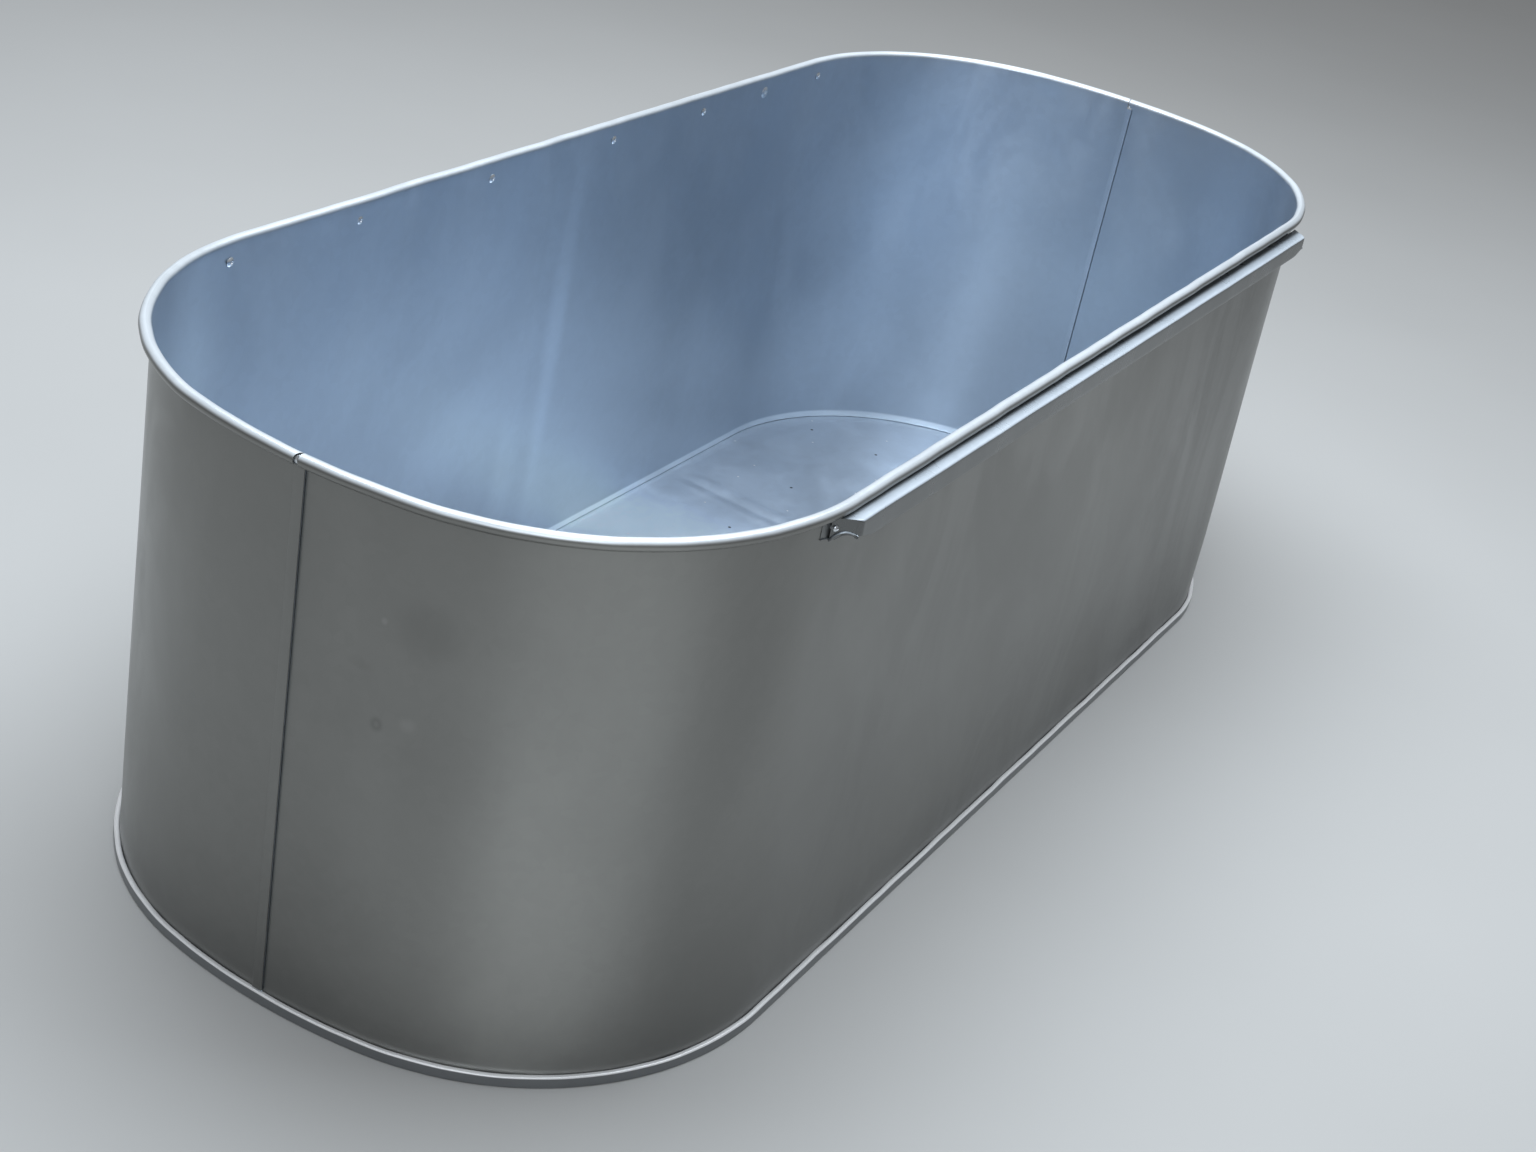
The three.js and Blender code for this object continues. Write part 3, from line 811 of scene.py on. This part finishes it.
def galvanised(name, outside, inside, upward, roughness, metallic=0.9, edges=0.25):
    """Satin zinc with a cloudy tone, faint crystals and fine grain. Outer faces are painted duller, a
    painted reflection of the ground; inner and upward ones are painted lighter, a painted reflection of
    the sky.
    metallic is the value of upright faces and edges that of upward ones."""
    n = Nodes(name)
    clouds = n.noise(2.6, 5, 0.55, 0.6)
    crystals = n.crystals(95)
    smears = n.noise(7.0, 4, 0.6, 1.4, n.stretched((1, 1, 0.45), (0.2, 0.1, 0.5)))
    tone = n.maths("ADD", n.between(clouds, 0.3, 0.7, 0, 0.6), n.maths("MULTIPLY", crystals, 0.16))
    tone = n.maths("ADD", tone, n.between(smears, 0.45, 0.75, 0, 0.24))
    away, up = n.facing()
    # Painted reflection: inner faces lighter, outer faces duller and upward faces lightest, standing in
    # for mirrored sky and ground.
    colours = n.mixed(n.between(away, -0.02, 0.02, 0, 1), inside, outside)
    colours = n.mixed(n.between(up, 0.15, 0.75, 0, 1), colours, upward)
    n.link(n.between(up, 0.15, 0.75, metallic, edges), n.shader.inputs["Metallic"])
    colours = n.tinted(colours, n.between(tone, 0, 1, 0.93, 1.07))
    rough = n.maths("ADD", n.between(smears, 0.35, 0.7, roughness - 0.035, roughness + 0.05),
                    n.maths("MULTIPLY", crystals, 0.02))
    n.link(rough, n.shader.inputs["Roughness"])
    grain = n.noise(420, 2, 0.5)
    n.bump(n.maths("ADD", grain, n.maths("MULTIPLY", crystals, 0.35)), 0.10, 0.0004)
    return n, colours


# Painted light and shade on the walls' zinc, as soft patches: middle, reach and change of brightness.
# They are painted reflections of what the metal would mirror outdoors. The smallest lie over the near
# end's dents and paint their shade and highlights.
INNER_PAINTED_LIGHT = [
    ((0.24, 0.35, 0.42), (0.46, 0.22, 0.48), -0.24),
    ((0.80, 0.22, 0.30), (0.17, 0.20, 0.75), 0.22),
    ((-0.45, 0.35, 0.22), (0.42, 0.20, 0.36), 0.02),
    ((0.02, 0.36, 0.34), (0.035, 0.10, 0.36), 0.16),
    ((0.78, 0.10, 0.05), (0.50, 0.50, 0.40), -0.26),
    ((-0.10, 0.36, 0.00), (0.80, 0.20, 0.30), -0.18),
    ((0.35, 0.36, 0.10), (0.40, 0.20, 0.30), -0.14),
    ((-0.70, 0.28, 0.50), (0.34, 0.26, 0.34), -0.14),
    ((0.90, -0.10, 0.45), (0.30, 0.30, 0.36), 0.14),
    ((0.86, 0.15, 0.52), (0.30, 0.25, 0.25), 0.18),
]
OUTER_PAINTED_LIGHT = [
    ((-0.785, -0.245, 0.32), (0.16, 0.15, 1.30), 0.42),
    ((-0.640, -0.350, 0.30), (0.18, 0.12, 1.20), -0.08),
    ((-0.85, -0.18, 0.05), (0.22, 0.22, 0.60), 0.24),
    ((-0.84, -0.15, 0.30), (0.10, 0.10, 0.20), -0.10),
    ((-0.875, -0.13, 0.46), (0.06, 0.05, 0.05), -0.10),
    ((-0.883, -0.093, 0.356), (0.04, 0.010, 0.012), -0.26),
    ((-0.883, -0.093, 0.356), (0.04, 0.005, 0.006), 0.24),
    ((-0.880, -0.122, 0.366), (0.04, 0.014, 0.012), 0.12),
    ((-0.886, -0.091, 0.459), (0.04, 0.005, 0.006), 0.20),
    ((0.20, -0.36, 0.05), (0.90, 0.10, 0.22), -0.12),
    ((0.60, -0.36, 0.35), (0.62, 0.14, 0.60), -0.24),
    ((-0.45, -0.36, 0.30), (0.16, 0.10, 0.60), -0.06),
]


def wall_material():
    n, colours = galvanised("zinc_wall", outside=(0.235, 0.235, 0.225),
                            inside=(0.555, 0.625, 0.705), upward=(0.74, 0.79, 0.83),
                            roughness=0.33)
    away = n.facing()[0]
    outer = n.between(away, -0.02, 0.02, 0, 1)
    inner = n.between(away, -0.02, 0.02, 1, 0)
    # Painted light and shade: each patch makes the inner or the outer faces lighter or darker.
    for painted_patches, face in ((INNER_PAINTED_LIGHT, inner), (OUTER_PAINTED_LIGHT, outer)):
        for centre, reach, change in painted_patches:
            patch = n.maths("MULTIPLY", n.zone(centre, reach), face)
            colours = n.tinted(colours, n.between(patch, 0, 1, 1, 1 + change))
    # Painted highlight: the inner faces at the wall's foot are painted near white.
    painted_foot_highlight = n.maths("MULTIPLY", n.between(n.height(), 0.010, 0.014, 0.7, 0), inner)
    colours = n.mixed(painted_foot_highlight, colours, (0.92, 0.97, 1.0))
    # Painted shade: the outer faces are painted darker, in patches, towards the bottom.
    painted_foot_shade = n.maths("MULTIPLY", n.between(n.height(), 0.10, 0.0, 0, 0.55), n.noise(14, 5, 0.65))
    painted_foot_shade = n.maths("MULTIPLY", painted_foot_shade, outer)
    n.link(n.mixed(painted_foot_shade, colours, (0.135, 0.14, 0.14)), n.shader.inputs["Base Color"])
    return n.material


# Broad lighter and darker patches painted on the floor: middle, reach and change of brightness.
FLOOR_PATCHES = [
    ((0.20, 0.22, 0.0), (0.22, 0.50, 0.2), 0.50),
    ((0.52, 0.20, 0.0), (0.26, 0.24, 0.2), -0.16),
    ((0.80, 0.02, 0.0), (0.14, 0.30, 0.2), 0.16),
]


def floor_material():
    n, colours = galvanised("zinc_floor", outside=(0.25, 0.26, 0.27), inside=(0.62, 0.71, 0.82),
                            upward=(0.62, 0.71, 0.82), roughness=0.34)
    for centre, reach, change in FLOOR_PATCHES:
        colours = n.tinted(colours, n.between(n.zone(centre, reach), 0, 1, 1, 1 + change))
    up = n.facing()[1]
    low = n.between(n.height(), 0.005, 0.007, 1, 0)
    on_floor = n.maths("MULTIPLY", low, n.between(up, 0.5, 0.8, 0, 1))
    specks = n.maths("MULTIPLY", n.spots(5.3, 0.014), on_floor)
    drops = n.maths("MULTIPLY", n.spots(8.7, 0.016), on_floor)
    colours = n.mixed(specks, colours, (0.03, 0.035, 0.05))
    colours = n.mixed(drops, colours, (1.0, 1.0, 1.0))
    # Painted highlight: the raised, upward-facing top of the base fold is painted white and made less
    # metallic.
    raised = n.between(n.height(), 0.008, 0.0115, 0, 1)
    lip = n.maths("MULTIPLY", raised, n.between(up, 0.1, 0.5, 0, 1))
    n.link(n.mixed(lip, colours, (1.0, 1.0, 1.0)), n.shader.inputs["Base Color"])
    n.link(n.between(lip, 0, 1, 0.75, 0.35), n.shader.inputs["Metallic"])
    return n.material


def rail_material():
    n, colours = galvanised("zinc_rail", outside=(0.185, 0.19, 0.19), inside=(0.34, 0.36, 0.39),
                            upward=(0.70, 0.78, 0.86), roughness=0.28)
    out = n.maths("ABSOLUTE", n.split(n.place)["Y"], 0)
    up = n.facing()[1]
    # Painted shade: upward faces of the rail near the wall, in the gap under the rolled rim, are
    # darkened.
    painted_gap_shade = n.between(out, 0.3555, 0.3615, 0.22, 1)
    painted_gap_shade = n.maths("MAXIMUM", painted_gap_shade, n.between(up, 0.2, 0.6, 1, 0))
    n.link(n.tinted(colours, painted_gap_shade), n.shader.inputs["Base Color"])
    return n.material


def rivet_material():
    n = Nodes("bright_steel")
    n.shader.inputs["Metallic"].default_value = 1.0
    wear = n.noise(240, 3, 0.6)
    n.link(n.mixed(wear, (0.62, 0.66, 0.70), (0.90, 0.93, 0.96)), n.shader.inputs["Base Color"])
    n.link(n.between(wear, 0.3, 0.7, 0.22, 0.40), n.shader.inputs["Roughness"])
    n.bump(wear, 0.15, 0.0003)
    return n.material


# ---------------------------------------------------------------- stage


def build_stage():
    reach = 14.0
    verts = [(x, y, 0.0) for x in (-reach, reach) for y in (-reach, reach)]
    mesh = bpy.data.meshes.new("ground")
    mesh.from_pydata(verts, [], [(0, 2, 3, 1)])
    ground = bpy.data.objects.new("ground", mesh)
    bpy.context.scene.collection.objects.link(ground)
    n = Nodes("ground")
    tone = n.noise(1.1, 4, 0.5)
    n.link(n.mixed(tone, (0.50, 0.50, 0.49), (0.56, 0.56, 0.55)), n.shader.inputs["Base Color"])
    n.shader.inputs["Roughness"].default_value = 0.9
    mesh.materials.append(n.material)


def soft_light(name, place, target, width, height, power, colour):
    lamp = bpy.data.lights.new(name, "AREA")
    lamp.shape = "RECTANGLE"
    lamp.size, lamp.size_y = width, height
    lamp.energy = power
    lamp.color = colour
    lit = bpy.data.objects.new(name, lamp)
    lit.location = place
    lit.rotation_euler = (Vector(target) - Vector(place)).to_track_quat("-Z", "Y").to_euler()
    bpy.context.scene.collection.objects.link(lit)


def build_lights():
    world = bpy.data.worlds.new("studio")
    bpy.context.scene.world = world
    world.use_nodes = True
    air = world.node_tree.nodes["Background"]
    air.inputs["Color"].default_value = (0.97, 0.98, 1.0, 1)
    air.inputs["Strength"].default_value = 0.26
    cool = (0.86, 0.93, 1.0)
    soft_light("overhead", (0.3, 0.2, 3.4), (0, 0, 0.3), 3.6, 2.6, 155, cool)
    soft_light("near_side", (-3.4, -1.6, 3.0), (0, 0, 0.3), 3.0, 1.8, 44, cool)


def build_camera():
    """The eye's place is in metres, and the view is set by where it looks and how far it rolls."""
    eye = Vector((-2.2444, -1.0768, 1.4513))
    target = Vector((-0.1955, -0.1046, 0.25))
    roll = math.radians(11.7)
    lens = bpy.data.cameras.new("camera")
    lens.sensor_width = 36.0
    lens.lens = 54.07
    camera = bpy.data.objects.new("camera", lens)
    aim = (target - eye).to_track_quat("-Z", "Y").to_matrix()
    turn = Matrix.Rotation(roll, 3, "Z")
    camera.matrix_world = Matrix.Translation(eye) @ (aim @ turn).to_4x4()
    bpy.context.scene.collection.objects.link(camera)
    bpy.context.scene.camera = camera


bpy.context.scene.view_settings.view_transform = "Standard"
build_camera()
build_lights()
build_stage()
FINISHES = {
    "galvanised_wall": wall_material(),
    "galvanised_floor": floor_material(),
    "galvanised_rail": rail_material(),
    "rivet_steel": rivet_material(),
}
FINISHES["rim_wire_steel"] = FINISHES["rivet_steel"]
build_floor()
for side_name in SIDES:
    build_wall(side_name)
    build_rail(side_name)
    build_wire(side_name)
    for rivet_number in range(1, RIVETS + 1):
        build_rivet(side_name, rivet_number)
